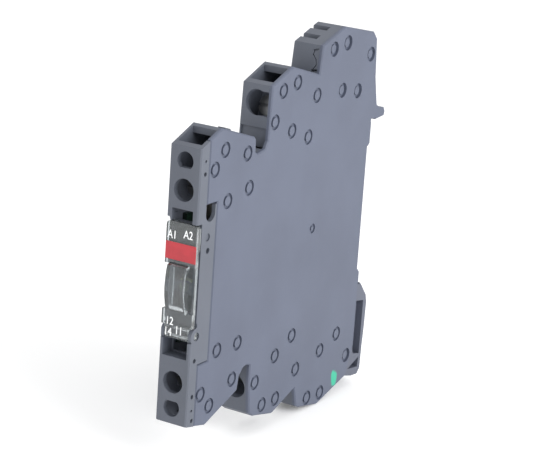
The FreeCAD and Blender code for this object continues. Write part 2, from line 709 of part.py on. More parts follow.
BOW_HOLLOW = [(LEVER_IN + 0.1, -0.9)] + [(FACE - 0.1, -0.9)] + bow_inner
BOW_HOLLOW += [(FACE + 0.2, -8.9), (LEVER_IN + 0.1, -8.9)]
prism(lever_body, "bow_hollow", BOW_HOLLOW, -1.5, 1.5, True)
RAIL = ((FACE + 0.25, -9.5), (FACE + 0.25, -0.3), (LEVER_IN, -0.3), (LEVER_IN, -9.5))
prism(lever_body, "side_rail", RAIL, 2.0, HALF - 0.05)
FLANGE = ((LEVER_IN - 0.3, 2.6), (LEVER_IN - 0.3, 6.9), (LEVER_IN + 0.4, 6.9), (LEVER_IN + 0.4, 2.6))
prism(lever_body, "upper_flange", FLANGE, HALF - 0.75, HALF - 0.05)
CHEEK = ((FACE, -12.0), (FACE, -14.5), (FACE + 0.5, -14.9), (LEVER_IN + 0.2, -14.9),
         (PIVOT_Y + 0.8, -14.3), (PIVOT_Y + 0.8, -13.3), (LEVER_IN, -11.8))
prism(lever_body, "pivot_cheek", CHEEK, -HALF + 0.8, HALF - 0.8)
discs(lever_body, "pivot_pins", [(PIVOT_Y, PIVOT_Z, 0.8)], -HALF + 0.3, HALF - 0.3)
BAND = (0.35, 3.65)
band_cut = ((FACE - 0.1, BAND[0] - 0.02), (FACE - 0.1, BAND[1] + 0.02),
            (FACE + 0.12, BAND[1] + 0.02), (FACE + 0.12, BAND[0] - 0.02))
prism(lever_body, "band_recess", band_cut, -HALF, HALF, True)
CORNER = 0.7
CORNER_X = HALF - 0.05 - CORNER
corner_z = 7.5 - CORNER
lever_room = joined("lever_room", [
    block("room_low", -HALF, HALF, FRONT - 3.0, FRONT + 5.0, -18.0, corner_z),
    block("room_high", -CORNER_X, CORNER_X, FRONT - 3.0, FRONT + 5.0, corner_z - 1.0, 8.0),
    rod("left_corner", CORNER, 8.0, -CORNER_X, FRONT - 3.0, corner_z, BACKWARD),
    rod("right_corner", CORNER, 8.0, CORNER_X, FRONT - 3.0, corner_z, BACKWARD),
])
ejector_lever = doc.addObject("Part::MultiCommon", "ejector_lever")
ejector_lever.Shapes = [lever_body, lever_room]

colour_band = block("colour_band", -HALF + 0.07, HALF - 0.07, FACE - 0.02, FACE + 0.1, *BAND)
marker_plate = block("marker_plate", -HALF + 0.3, HALF - 1.0, LEVER_IN + 0.05, BACK - 0.02, 0.0, 7.2)
light_guide = rod("light_guide", 0.8, 1.45, 0.0, LEVER_IN + 0.05, -4.95, BACKWARD)

# ---------------------------------------------------------------- circuit board and its parts

BOARD_FRONT = FRONT + 4.0
BOARD_BACK = RELAY_FRONT - 0.4
BOARD_X = -INNER + 0.1
BOARD_FACE = BOARD_X + 0.8
board_body = new_body("circuit_board_body")
BOARD = (
    (BOARD_FRONT, -16.8),
    (BOARD_BACK, -16.8),
    (BOARD_BACK, -12.8),
    (RELAY_FRONT + 6.6, -12.8),
    (RELAY_FRONT + 6.6, RELAY_LOW - 1.1),
    (BOARD_BACK, RELAY_LOW - 1.1),
    (BOARD_BACK, RELAY_TOP + 1.1),
    (RELAY_FRONT + 12.4, RELAY_TOP + 1.1),
    (RELAY_FRONT + 12.4, RELAY_TOP + 6.6),
    (BOARD_BACK - 1.0, RELAY_TOP + 6.6),
    (BOARD_BACK - 3.0, 8.2),
    (BOARD_FRONT, 8.2),
)
prism(board_body, "board_plate", BOARD, BOARD_X, BOARD_FACE)
circuit_board = board_body
PART_X = BOARD_FACE + 0.02
status_led = block("status_led", PART_X, 1.0, FRONT + 2.7, BOARD_FRONT + 0.9, -5.75, -4.15)
rectifier = block("rectifier", PART_X, 0.7, BOARD_FRONT + 2.2, BOARD_FRONT + 6.2, 1.0, 5.6)
surge_absorber = rod("surge_absorber", 2.4, 1.9, PART_X, BOARD_FRONT + 8.6, -3.2, SIDEWAYS)
resistor_a = block("resistor_a", PART_X, PART_X + 0.6, BOARD_FRONT + 2.4, BOARD_FRONT + 5.6, -8.0, -6.4)
resistor_b = block("resistor_b", PART_X, PART_X + 0.6, BOARD_FRONT + 2.4, BOARD_FRONT + 5.6, -11.2, -9.6)
capacitor = rod("capacitor", 1.75, 6.4, PART_X + 1.77, BOARD_FRONT + 9.0, -15.6)

# ---------------------------------------------------------------- relay

CASE_HALF = INNER - 0.1
ROOM = CASE_HALF - 0.4
case_outer = block("case_outer", -CASE_HALF, CASE_HALF, RELAY_FRONT, RELAY_BACK, RELAY_LOW, RELAY_TOP)
case_inner = block("case_inner", -ROOM, ROOM, RELAY_FRONT + 0.4, RELAY_BACK - 0.4,
                   RELAY_LOW - 0.1, RELAY_TOP - 0.4)
relay_case = carved("relay_case", case_outer, [case_inner])


def inside(name, x0, x1, u0, u1, v0, v1):
    """Box in relay coordinates: u from its front end, v from its underside."""
    return block(name, x0, x1, RELAY_FRONT + u0, RELAY_FRONT + u1, RELAY_LOW + v0, RELAY_LOW + v1)


def pin_way(name, x0, x1, u0, u1):
    """Clearance for one pin through the relay floor."""
    return inside(name, x0 - 0.02, x1 + 0.02, u0 - 0.02, u1 + 0.02, -0.1, 2.2)


floor_block = block("relay_floor", -ROOM + 0.02, ROOM - 0.02, RELAY_FRONT + 0.42,
                    RELAY_BACK - 0.42, RELAY_LOW, RELAY_LOW + 2.0)
COIL_PINS = ((2.2, 2.6), (5.2, 5.6))
COIL_PIN_X = (BOARD_FACE + 0.1, BOARD_FACE + 0.7)
MAKE_PIN = (0.5, 1.5, 20.3, 20.6)
BREAK_PIN = (-1.5, -0.5, 23.32, 23.62)
COMMON_PIN = (-0.4, 0.4, 22.0, 22.2)
ways = [pin_way("make_way", *MAKE_PIN), pin_way("break_way", *BREAK_PIN),
        pin_way("common_way", *COMMON_PIN)]
ways += [pin_way("coil_way", *COIL_PIN_X, u0, u1) for u0, u1 in COIL_PINS]
relay_base = carved("relay_base", floor_block, ways)

PIN_LOW = -3.5
coil_pin_a = inside("coil_pin_a", *COIL_PIN_X, *COIL_PINS[0], PIN_LOW, 4.6)
coil_pin_b = inside("coil_pin_b", *COIL_PIN_X, *COIL_PINS[1], PIN_LOW, 4.6)
AXIS_V = 10.6
BORE = (-0.72, 0.72)


def around_core(name, x_half, u0, u1, v_half):
    """Box centred on the coil axis."""
    return inside(name, -x_half, x_half, u0, u1, AXIS_V - v_half, AXIS_V + v_half)


bobbin_solid = joined("bobbin_solid", [
    around_core("bobbin_tube", 1.15, 1.6, 15.2, 1.3),
    around_core("bobbin_front", 1.9, 1.6, 2.3, 3.6),
    around_core("bobbin_rear", 1.9, 14.5, 15.2, 3.6),
])
coil_bobbin = carved("coil_bobbin", bobbin_solid, [around_core("bobbin_bore", 0.72, 1.0, 16.0, 0.85)])
winding_solid = around_core("winding_solid", 1.85, 2.34, 14.46, 3.2)
coil_winding = carved("coil_winding", winding_solid,
                      [around_core("winding_bore", 1.17, 2.0, 15.0, 1.32)])
coil_core = joined("coil_core", [
    around_core("core_bar", 0.7, 0.75, 15.5, 0.83),
    around_core("core_pole", 1.5, 15.24, 15.6, 1.8),
])
yoke_solid = joined("yoke_solid", [
    inside("yoke_back", -1.8, 1.8, 0.7, 1.55, 5.3, 12.6),
    inside("yoke_leg", -1.8, 1.8, 0.7, 16.0, 5.3, 6.2),
])
yoke = carved("yoke", yoke_solid, [around_core("yoke_bore", 0.71, 0.5, 1.8, 0.84)])
armature = joined("armature", [
    rod("armature_edge", 0.4, 3.4, -1.7, RELAY_FRONT + 16.52, RELAY_LOW + 5.3, SIDEWAYS),
    inside("armature_plate", -1.7, 1.7, 16.12, 16.92, 5.3, 12.3),
    inside("armature_tab", -0.8, 0.8, 16.12, 16.92, 12.2, 13.2),
])
card_bar = inside("card_bar", -1.4, 1.4, 15.78, 22.8, 12.5, 13.9)
actuator_card = carved("actuator_card", card_bar, [
    inside("card_front_slot", -0.95, 0.95, 16.02, 17.02, 12.4, 13.5),
    inside("card_leaf_slot", -0.95, 0.95, 21.93, 22.27, 12.4, 13.5),
])
contact_v = 9.5


def contact(name, u0, u1):
    """Round contact button across the relay."""
    return rod(name, 0.9, u1 - u0, 0.0, RELAY_FRONT + u0, RELAY_LOW + contact_v, BACKWARD)


common_leaf = joined("common_leaf", [
    rod("leaf_root", 0.3, 2.4, -1.2, RELAY_FRONT + 22.1, RELAY_LOW + 2.45, SIDEWAYS),
    inside("leaf_blade", -1.2, 1.2, 22.0, 22.2, 2.45, 11.6),
    inside("leaf_tip", -0.8, 0.8, 22.0, 22.2, 11.4, 13.1),
    contact("leaf_button", 21.7, 22.5),
])
common_pin = inside("common_pin", *COMMON_PIN, PIN_LOW, 2.1)
make_contact = joined("make_contact", [
    inside("make_foot", *MAKE_PIN, PIN_LOW, 2.4),
    inside("make_blade", -1.4, 1.5, 20.3, 20.6, 2.2, 10.8),
    contact("make_button", 20.5, 21.3),
])
break_contact = joined("break_contact", [
    inside("break_foot", *BREAK_PIN, PIN_LOW, 2.4),
    inside("break_blade", -1.5, 1.4, 23.32, 23.62, 2.2, 10.8),
    contact("break_button", 22.55, 23.4),
])

# ---------------------------------------------------------------- screw clamps

CAGE_HALF = INNER - 0.35
results = {}
for clamp in TERMINALS:
    shaft = clamp.bore("_shaft", SHAFT_RADIUS, HEAD_IN + 0.2, BAR_IN - HEAD_IN - 0.35)
    head = clamp.bore("_head", 1.95, HEAD_IN, HEAD_LONG)
    slot_body = new_body(clamp.node + "_slot")
    clamp.plate(slot_body, clamp.node + "_slot_pad", -2.1, 2.1, HEAD_IN - 0.2, HEAD_IN + 0.6, -0.3, 0.3)
    solid = joined(clamp.node + "_screw_solid", [shaft, head])
    results[clamp.node + "_screw"] = carved(clamp.node + "_screw", solid, [slot_body])

    cage_in = S.cage_travel + CAGE_IN
    cage_body = new_body(clamp.node + "_cage_body")
    clamp.plate(cage_body, clamp.node + "_cage_pad", -CAGE_HALF, CAGE_HALF, cage_in,
                cage_in + 5.5, -2.2, 2.2)
    room = (cage_in + 1.2, cage_in + 4.8, -2.4, 2.4)
    clamp.plate(cage_body, clamp.node + "_cage_room", 0.5 - CAGE_HALF, CAGE_HALF - 0.5, *room, True)
    thread = clamp.bore("_thread", SHAFT_RADIUS + 0.03, 3.0, 4.0)
    results[clamp.node + "_cage"] = carved(clamp.node + "_cage", cage_body, [thread])


def bar_clamp(clamp, reach, neck=None):
    """Flat end of a current bar that stands inside its cage."""
    body = new_body(clamp.node + "_bar_body")
    clamp.plate(body, clamp.node + "_bar_pad", -1.5, 1.5, BAR_IN, BAR_IN + BAR_THICK, -reach, 1.9)
    if neck:
        clamp.plate(body, clamp.node + "_bar_neck", -0.45, 0.45, BAR_IN, BAR_IN + BAR_THICK,
                    -neck, -reach + 0.2)
    return body


PIN_END = RELAY_LOW + PIN_LOW - 0.01
results["a1_bar"] = bar_clamp(A1, 8.0)
results["a2_bar"] = bar_clamp(A2, 12.6)
c14_y = C14.y + BAR_IN
make_y = RELAY_FRONT + 20.15
break_y = RELAY_FRONT + 23.17
results["c14_bar"] = joined("c14_bar", [
    bar_clamp(C14, 4.6),
    block("c14_run", 0.55, 1.9, c14_y, make_y + 0.6, C14.z + 4.0, C14.z + 4.6),
    block("c14_rise", 0.55, 1.9, make_y, make_y + 0.6, C14.z + 4.0, PIN_END),
])
turn_y, turn_z = C12.point(BAR_IN + 0.3, -6.2)
results["c12_bar"] = joined("c12_bar", [
    bar_clamp(C12, 6.6),
    block("c12_run", -1.9, -0.55, turn_y - 0.3, break_y + 0.6, turn_z - 0.3, turn_z + 0.3),
    block("c12_rise", -1.9, -0.55, break_y, break_y + 0.6, turn_z - 0.3, PIN_END),
])
results["c11_bar"] = bar_clamp(C11, 3.4, 21.3)

# ---------------------------------------------------------------- labels, checks and export

results.update({
    "base_shell": base_shell, "side_cover": side_cover, "rail_foot": rail_foot,
    "foot_spring": foot_spring, "ejector_lever": ejector_lever, "colour_band": colour_band,
    "marker_plate": marker_plate, "light_guide": light_guide, "status_led": status_led,
    "circuit_board": circuit_board, "rectifier": rectifier, "surge_absorber": surge_absorber,
    "resistor_a": resistor_a, "resistor_b": resistor_b, "capacitor": capacitor,
    "relay_case": relay_case, "relay_base": relay_base, "coil_bobbin": coil_bobbin,
    "coil_winding": coil_winding, "coil_core": coil_core, "yoke": yoke, "armature": armature,
    "actuator_card": actuator_card, "common_leaf": common_leaf, "common_pin": common_pin,
    "make_contact": make_contact, "break_contact": break_contact, "coil_pin_a": coil_pin_a,
    "coil_pin_b": coil_pin_b,
})
doc.recompute()
for item in doc.Objects:
    if "Invalid" in item.State or "Error" in item.State:
        raise RuntimeError("%s did not compute: %s" % (item.Name, item.State))
for node, item in sorted(results.items()):
    item.Label = node
    shape = item.Shape
    if shape.isNull() or not shape.isValid():
        raise RuntimeError("%s has no valid shape" % node)
    if len(shape.Solids) != 1:
        raise RuntimeError("%s has %d solids" % (node, len(shape.Solids)))
    shape.exportStep("parts/%s.step" % node)
    box = shape.BoundBox
    print("%-16s %7.2f %7.2f  %7.2f %7.2f  %7.2f %7.2f  %9.2f" % (
        node, box.XMin, box.XMax, box.YMin, box.YMax, box.ZMin, box.ZMax, shape.Volume))
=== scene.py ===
"""Finishes, printed marks and stage for a slim control relay, built on its CAD frame."""

import math

import bpy
from mathutils import Matrix, Vector
from mathutils.bvhtree import BVHTree


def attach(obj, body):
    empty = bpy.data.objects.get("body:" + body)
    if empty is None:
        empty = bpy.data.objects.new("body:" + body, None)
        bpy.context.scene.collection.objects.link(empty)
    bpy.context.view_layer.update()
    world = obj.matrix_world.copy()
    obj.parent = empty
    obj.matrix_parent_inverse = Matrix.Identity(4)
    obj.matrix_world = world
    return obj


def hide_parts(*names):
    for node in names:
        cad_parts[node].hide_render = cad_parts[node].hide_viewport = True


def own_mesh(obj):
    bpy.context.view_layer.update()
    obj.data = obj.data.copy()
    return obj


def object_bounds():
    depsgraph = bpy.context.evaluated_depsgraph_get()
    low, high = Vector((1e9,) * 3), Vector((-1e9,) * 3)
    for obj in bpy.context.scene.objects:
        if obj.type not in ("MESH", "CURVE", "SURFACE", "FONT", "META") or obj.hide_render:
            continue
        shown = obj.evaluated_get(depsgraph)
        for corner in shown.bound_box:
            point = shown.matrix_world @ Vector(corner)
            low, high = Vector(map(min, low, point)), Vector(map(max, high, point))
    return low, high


bl_info = {
    "name": "Slim Control Relay",
    "version": (1, 0, 0),
    "blender": (4, 5, 0),
    "location": "3D View > Sidebar > Relay",
    "description": "Finishes, terminal marks and stage for a stepped relay module",
    "category": "Object",
}

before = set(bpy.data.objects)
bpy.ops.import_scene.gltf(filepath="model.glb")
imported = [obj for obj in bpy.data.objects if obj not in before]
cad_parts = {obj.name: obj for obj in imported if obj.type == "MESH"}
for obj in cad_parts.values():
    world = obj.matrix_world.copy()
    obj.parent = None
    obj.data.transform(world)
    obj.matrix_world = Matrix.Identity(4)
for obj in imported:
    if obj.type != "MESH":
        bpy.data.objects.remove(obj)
CAD_BOX = [list(corner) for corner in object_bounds()]
MM = 0.001

# Middle of the paint dab on the cover, along Y and Z, and where the cover's outer face begins.
DAB_Y = -7.4 * MM
DAB_Z = -36.2 * MM
COVER_FACE = 3.3 * MM

# Each terminal number with its middle on the lever, along X and Z, in millimetres.
NUMBERS = (
    ("A1", -2.0, 4.95),
    ("A2", 1.5, 5.45),
    ("12", -1.55, -11.50),
    ("14", -1.80, -13.60),
    ("11", 0.60, -13.00),
)
CAP_SHARE = 0.73
NARROWING = 0.80

# Where the camera stands, and how it is turned: azimuth, elevation and tip in degrees.
CAMERA_PLACE = (0.203105, -0.368218, 0.110751)
CAMERA_ANGLES = (31.1, 15.6, 4.0)
LIGHT_AIM = (0.0, -0.03, 0.0)
FLOOR_HALF = 3.0


# ---------------------------------------------------------------- shader maths


class Signal:
    """A number that runs from one shader node to the next."""

    def __init__(self, finish, socket):
        self.finish = finish
        self.socket = socket

    def __add__(self, other):
        return self.finish.math("ADD", self, other)

    __radd__ = __add__

    def __mul__(self, other):
        return self.finish.math("MULTIPLY", self, other)

    __rmul__ = __mul__

    def __sub__(self, other):
        return self.finish.math("SUBTRACT", self, other)

    def __rsub__(self, other):
        return self.finish.math("SUBTRACT", other, self)

    def __truediv__(self, other):
        return self.finish.math("DIVIDE", self, other)

    def __pow__(self, other):
        return self.finish.math("POWER", self, other)

    def __gt__(self, other):
        return self.finish.math("GREATER_THAN", self, other)

    def between(self, low, high):
        """0 below low, 1 above high, and a smooth step from one to the other."""
        return self.finish.node(
            "ShaderNodeMapRange",
            {"interpolation_type": "SMOOTHSTEP"},
            {"Value": self, "From Min": low, "From Max": high},
        )


class Finish:
    """One material while its nodes are joined up."""

    def __init__(self, name):
        self.material = bpy.data.materials.new(name)
        self.material.use_nodes = True
        self.nodes = self.material.node_tree.nodes
        self.links = self.material.node_tree.links
        self.nodes.clear()

    def plug(self, socket, value):
        """Gives a socket its number or colour, or links a signal to it."""
        if isinstance(value, Signal):
            self.links.new(value.socket, socket)
        else:
            socket.default_value = value

    def node(self, kind, settings=None, sockets=None, out=0):
        """Adds a node: its settings first, then its sockets, and returns one output."""
        made = self.nodes.new(kind)
        for key, value in (settings or {}).items():
            setattr(made, key, value)
        for key, value in (sockets or {}).items():
            self.plug(made.inputs[key], value)
        return Signal(self, made.outputs[out])

    def math(self, operation, first, second):
        return self.node("ShaderNodeMath", {"operation": operation}, {0: first, 1: second})

    def place(self):
        """Where a point of the piece is, in metres."""
        return self.node("ShaderNodeTexCoord", out="Object")

    def stretched(self, scale, turn=(0, 0, 0)):
        """The same, stretched or squeezed along each axis."""
        return self.node(
            "ShaderNodeMapping", {}, {"Vector": self.place(), "Rotation": turn, "Scale": scale}
        )

    def noise(self, scale, detail=2.0, where=None, rough=0.5):
        """Cloudy noise whose lumps are one metre over scale wide."""
        return self.node(
            "ShaderNodeTexNoise",
            {},
            {
                "Vector": where or self.place(),
                "Scale": scale,
                "Detail": detail,
                "Roughness": rough,
            },
        )

    def axis(self, name):
        """One coordinate of the point, in metres."""
        return self.node("ShaderNodeSeparateXYZ", {}, {"Vector": self.place()}, out=name)

    def blend(self, mask, low, high):
        """One colour where the mask is 0 and the other where it is 1."""
        made = self.nodes.new("ShaderNodeMix")
        made.data_type = "RGBA"
        self.plug(made.inputs[0], mask)
        for socket, value in ((made.inputs[6], low), (made.inputs[7], high)):
            self.plug(socket, value if isinstance(value, Signal) else opaque(value))
        return Signal(self, made.outputs[2])

    def bump(self, height, depth, strength=1.0):
        """Turns a height from 0 to 1 into a surface that is depth metres deep."""
        return self.node(
            "ShaderNodeBump", {}, {"Height": height, "Distance": depth, "Strength": strength}
        )

    def surface(self, **values):
        """The shader itself. Underscores in a name stand for spaces."""
        shader = self.nodes.new("ShaderNodeBsdfPrincipled")
        for key, value in values.items():
            self.plug(shader.inputs[key.replace("_", " ")], value)
        output = self.nodes.new("ShaderNodeOutputMaterial")
        self.links.new(shader.outputs[0], output.inputs["Surface"])
        return self.material


def opaque(colour):
    """A colour with its alpha of 1."""
    return (*tuple(colour)[:3], 1.0)


def darker(colour, share):
    """A colour multiplied by a number."""
    return tuple(part * share for part in tuple(colour)[:3])


def wear(node, material):
    """Gives a CAD node its material."""
    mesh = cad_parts[node].data
    mesh.materials.clear()
    mesh.materials.append(material)


# ------------------------------------------------------------------- settings


class MouldingSettings(bpy.types.PropertyGroup):
    shell_colour: bpy.props.FloatVectorProperty(
        name="Shell colour",
        description="Colour of the moulded tray that holds the clamps",
        subtype="COLOR",
        min=0.0,
        max=1.0,
        default=(0.094, 0.105, 0.132),
    )
    cover_colour: bpy.props.FloatVectorProperty(
        name="Cover colour",
        description="Colour of the flat side cover",
        subtype="COLOR",
        min=0.0,
        max=1.0,
        default=(0.088, 0.102, 0.146),
    )
    foot_colour: bpy.props.FloatVectorProperty(
        name="Foot colour",
        description="Colour of the sprung rail foot",
        subtype="COLOR",
        min=0.0,
        max=1.0,
        default=(0.088, 0.098, 0.132),
    )
    grain: bpy.props.FloatProperty(
        name="Grain",
        description="Width of the fine texture left by the mould",
        unit="LENGTH",
        default=0.11 * MM,
    )
    grain_depth: bpy.props.FloatProperty(
        name="Grain depth",
        description="Depth of the mould texture",
        unit="LENGTH",
        default=0.006 * MM,
    )
    roughness: bpy.props.FloatProperty(
        name="Roughness", description="How matte the mouldings are", default=0.52
    )
    dot_colour: bpy.props.FloatVectorProperty(
        name="Test dot colour",
        description="Colour of the paint dot on the cover",
        subtype="COLOR",
        min=0.0,
        max=1.0,
        default=(0.03, 0.40, 0.25),
    )
    dot_radius: bpy.props.FloatProperty(
        name="Test dot radius",
        description="Radius of the paint dot on the cover",
        unit="LENGTH",
        default=1.7 * MM,
    )


class LeverSettings(bpy.types.PropertyGroup):
    tint: bpy.props.FloatVectorProperty(
        name="Lever tint",
        description="Colour that the clear plastic gives to light",
        subtype="COLOR",
        min=0.0,
        max=1.0,
        default=(0.56, 0.60, 0.62),
    )
    band_colour: bpy.props.FloatVectorProperty(
        name="Band colour",
        description="Colour of the band across the lever",
        subtype="COLOR",
        min=0.0,
        max=1.0,
        default=(0.45, 0.018, 0.030),
    )
    plate_colour: bpy.props.FloatVectorProperty(
        name="Marker plate colour",
        description="Colour of the plate behind the upper end of the lever",
        subtype="COLOR",
        min=0.0,
        max=1.0,
        default=(0.030, 0.032, 0.035),
    )
    lamp_colour: bpy.props.FloatVectorProperty(
        name="Lamp colour",
        description="Colour of the unlit status lamp",
        subtype="COLOR",
        min=0.0,
        max=1.0,
        default=(0.62, 0.72, 0.35),
    )


class MetalSettings(bpy.types.PropertyGroup):
    # Painted shade: the zinc is much darker than real plating, so that the screws and cages deep
    # in their holes read as shaded.
    zinc: bpy.props.FloatVectorProperty(
        name="Zinc",
        description="Colour of the plated screws and cages",
        subtype="COLOR",
        min=0.0,
        max=1.0,
        default=(0.24, 0.245, 0.25),
    )
    tinned: bpy.props.FloatVectorProperty(
        name="Tin",
        description="Colour of the tinned bars and pins",
        subtype="COLOR",
        min=0.0,
        max=1.0,
        default=(0.42, 0.40, 0.36),
    )
    bronze: bpy.props.FloatVectorProperty(
        name="Bronze",
        description="Colour of the contact springs",
        subtype="COLOR",
        min=0.0,
        max=1.0,
        default=(0.66, 0.42, 0.20),
    )
    copper: bpy.props.FloatVectorProperty(
        name="Enamelled copper",
        description="Colour of the coil winding",
        subtype="COLOR",
        min=0.0,
        max=1.0,
        default=(0.48, 0.14, 0.05),
    )
    wire: bpy.props.FloatProperty(
        name="Winding wire",
        description="Thickness of one turn of the coil",
        unit="LENGTH",
        default=0.12 * MM,
    )


class MarkSettings(bpy.types.PropertyGroup):
    height: bpy.props.FloatProperty(
        name="Mark height",
        description="Height of the terminal numbers",
        unit="LENGTH",
        default=1.60 * MM,
    )
    ink: bpy.props.FloatProperty(
        name="Ink thickness",
        description="How far the print stands on the surface",
        unit="LENGTH",
        default=0.02 * MM,
    )
    weight: bpy.props.FloatProperty(
        name="Stroke weight",
        description="How much each stroke of a letter is widened on either side",
        unit="LENGTH",
        default=0.018 * MM,
    )
    colour: bpy.props.FloatVectorProperty(
        name="Ink colour",
        description="Colour of the terminal numbers",
        subtype="COLOR",
        min=0.0,
        max=1.0,
        default=(0.93, 0.94, 0.95),
    )


class StageSettings(bpy.types.PropertyGroup):
    floor_colour: bpy.props.FloatVectorProperty(
        name="Floor colour",
        description="Colour of the floor that the relay stands on",
        subtype="COLOR",
        min=0.0,
        max=1.0,
        default=(0.99, 0.99, 0.99),
    )
    key_power: bpy.props.FloatProperty(
        name="Main light", description="Power of the main soft light", unit="POWER", default=3.2
    )
    fill_power: bpy.props.FloatProperty(
        name="Fill light",
        description="Power of the light from the left",
        unit="POWER",
        default=0.25,
    )
    sky: bpy.props.FloatProperty(
        name="Sky", description="Strength of the soft light behind the relay", default=1.06
    )
    sky_in_front: bpy.props.FloatProperty(
        name="Sky in front",
        description="Share of that light that comes from the front",
        default=0.74,
    )
    lens: bpy.props.FloatProperty(
        name="Lens",
        description="Focal length on a 36 mm wide sensor",
        subtype="DISTANCE_CAMERA",
        default=140.3,
    )


# ------------------------------------------------------------------- finishes


def moulded_plastic(name, colour, settings, marks=None):
    """Glass-filled plastic from a spark-eroded mould, with faint flow clouds."""
    f = Finish(name)
    grain = f.noise(1 / settings.grain, 3.0)
    clouds = f.noise(85, 3.0)
    flow = f.noise(1.0, 2.0, f.stretched((260, 90, 40)))
    dust = f.noise(1400, 2.0).between(0.66, 0.80)
    shade = (clouds * 0.55 + flow * 0.45).between(0.30, 0.70)
    base = f.blend(shade, darker(colour, 0.93), darker(colour, 1.06))
    base = f.blend(grain.between(0.35, 0.75) * 0.22, base, darker(colour, 1.45))
    base = f.blend(dust * 0.12, base, darker(colour, 1.9))
    if marks:
        base = marks(f, base)
    return f.surface(
        Base_Color=base,
        Roughness=settings.roughness + 0.14 * grain - 0.05 * clouds,
        Normal=f.bump(grain + clouds * 0.6, settings.grain_depth),
        IOR=1.52,
    )


def cover_marks(settings):
    """The dab of test paint at the low corner of the cover."""

    def paint(f, base):
        across = f.axis("Y") - DAB_Y
        up = f.axis("Z") - DAB_Z
        edge = f.noise(700, 2.0) * 1.3 * MM
        reach = (across * across + up * up * 0.55) ** 0.5 + edge
        outside = f.axis("X") > COVER_FACE
        dab = (1 - reach.between(settings.dot_radius * 0.95, settings.dot_radius * 1.25)) * outside
        return f.blend(dab, base, settings.dot_colour)

    return paint


def clear_plastic(name, tint):
    """Clear polycarbonate with handling marks."""
    f = Finish(name)
    hairs = f.noise(1.0, 4.0, f.stretched((5200, 900, 500), (0.3, 0.1, 0.7))).between(0.60, 0.75)
    haze = f.noise(700, 2.0)
    return f.surface(
        Base_Color=opaque(tint),
        Roughness=0.075 + hairs * 0.12 + haze * 0.08,
        Transmission_Weight=0.94,
        IOR=1.585,
        Normal=f.bump(haze + hairs * 0.4, 0.012 * MM),
    )


def printed_film(name, colour, roughness):
    """Ink on a smooth film, with the fine cells of the print."""
    f = Finish(name)
    cells = f.node(
        "ShaderNodeTexVoronoi", {"feature": "F1"}, {"Vector": f.place(), "Scale": 5200.0}
    )
    clouds = f.noise(420, 3.0)
    base = f.blend(clouds.between(0.3, 0.7), darker(colour, 0.90), darker(colour, 1.08))
    base = f.blend(cells.between(0.2, 0.9) * 0.15, base, darker(colour, 1.4))
    return f.surface(
        Base_Color=base,
        Roughness=roughness + clouds * 0.12,
        Normal=f.bump(cells, 0.002 * MM),
        Coat_Weight=0.25,
        Coat_Roughness=0.12,
    )


def plated_metal(name, colour, scale, roughness=0.26):
    """Plated metal whose fine lines run along the longest scale."""
    f = Finish(name)
    lines = f.noise(1.0, 4.0, f.stretched(scale))
    bloom = f.noise(600, 3.0)
    pits = f.noise(3800, 1.0).between(0.68, 0.78)
    base = f.blend(bloom.between(0.35, 0.7), darker(colour, 0.82), colour)
    base = f.blend(pits * 0.5, base, darker(colour, 0.45))
    return f.surface(
        Base_Color=base,
        Metallic=1.0,
        Roughness=roughness + lines * 0.18 + bloom * 0.08,
        Normal=f.bump(lines + pits * 0.5, 0.006 * MM),
    )


def wound_copper(name, colour, turn):
    """Layers of enamelled wire lying side by side along the coil, with painted shade in the
    grooves between the turns.
    """
    f = Finish(name)
    wander = f.noise(900, 2.0) * 0.35 * turn
    phase = (f.axis("Y") + wander) / turn
    height = f.node("ShaderNodeMath", {"operation": "PINGPONG"}, {0: phase, 1: 0.5}) * 2.0
    loose = f.noise(500, 2.0)
    # Painted shade: the grooves between the turns are darkened to a quarter of the copper colour.
    base = f.blend(height.between(0.0, 0.6), darker(colour, 0.25), colour)
    base = f.blend(loose.between(0.45, 0.8) * 0.5, base, darker(colour, 1.5))
    return f.surface(
        Base_Color=base,
        Roughness=0.22 + loose * 0.2,
        Metallic=0.35,
        Normal=f.bump(height, turn * 0.4),
        Coat_Weight=0.6,
        Coat_Roughness=0.08,
    )


def circuit_mask(name, tin):
    """Green solder mask over tracks, with tinned pads, painted nearly black as shade for the slots
    that look onto it.
    """
    f = Finish(name)
    tracks = f.node(
        "ShaderNodeTexBrick",
        {"offset": 0.5, "squash": 1.0},
        {
            "Vector": f.stretched((420, 420, 420), (0.0, math.pi / 2, 0.0)),
            "Scale": 1.0,
            "Mortar Size": 0.035,
            "Mortar Smooth": 0.15,
            "Brick Width": 0.9,
            "Row Height": 0.42,
        },
        out="Fac",
    )
    pads = f.node(
        "ShaderNodeTexVoronoi", {"feature": "F1"}, {"Vector": f.place(), "Scale": 310.0}
    )
    pad = 1 - pads.between(0.16, 0.19)
    weave = f.noise(5200, 2.0)
    # Painted shade: the mask colours are nearly black so that the board seen through the slots
    # reads as shade.
    base = f.blend(weave * 0.4, (0.004, 0.012, 0.008), (0.007, 0.020, 0.013))
    base = f.blend(tracks * 0.7, base, (0.012, 0.040, 0.022))
    base = f.blend(pad, base, tin)
    return f.surface(
        Base_Color=base,
        Metallic=pad,
        Roughness=0.28 + weave * 0.12,
        Normal=f.bump(tracks + pad + weave * 0.15, 0.03 * MM),
    )


def dipped_resin(name, colour, gloss):
    """A resin coat that has run a little before it set."""
    f = Finish(name)
    runs = f.noise(1.0, 2.0, f.stretched((900, 900, 320)))
    specks = f.noise(2600, 2.0).between(0.62, 0.74)
    base = f.blend(runs.between(0.3, 0.7), darker(colour, 0.85), darker(colour, 1.12))
    base = f.blend(specks * 0.25, base, darker(colour, 1.8))
    return f.surface(
        Base_Color=base,
        Roughness=gloss + specks * 0.1,
        Normal=f.bump(runs, 0.06 * MM),
        Coat_Weight=0.3,
        Coat_Roughness=0.1,
    )


# -------------------------------------------------------------- printed marks


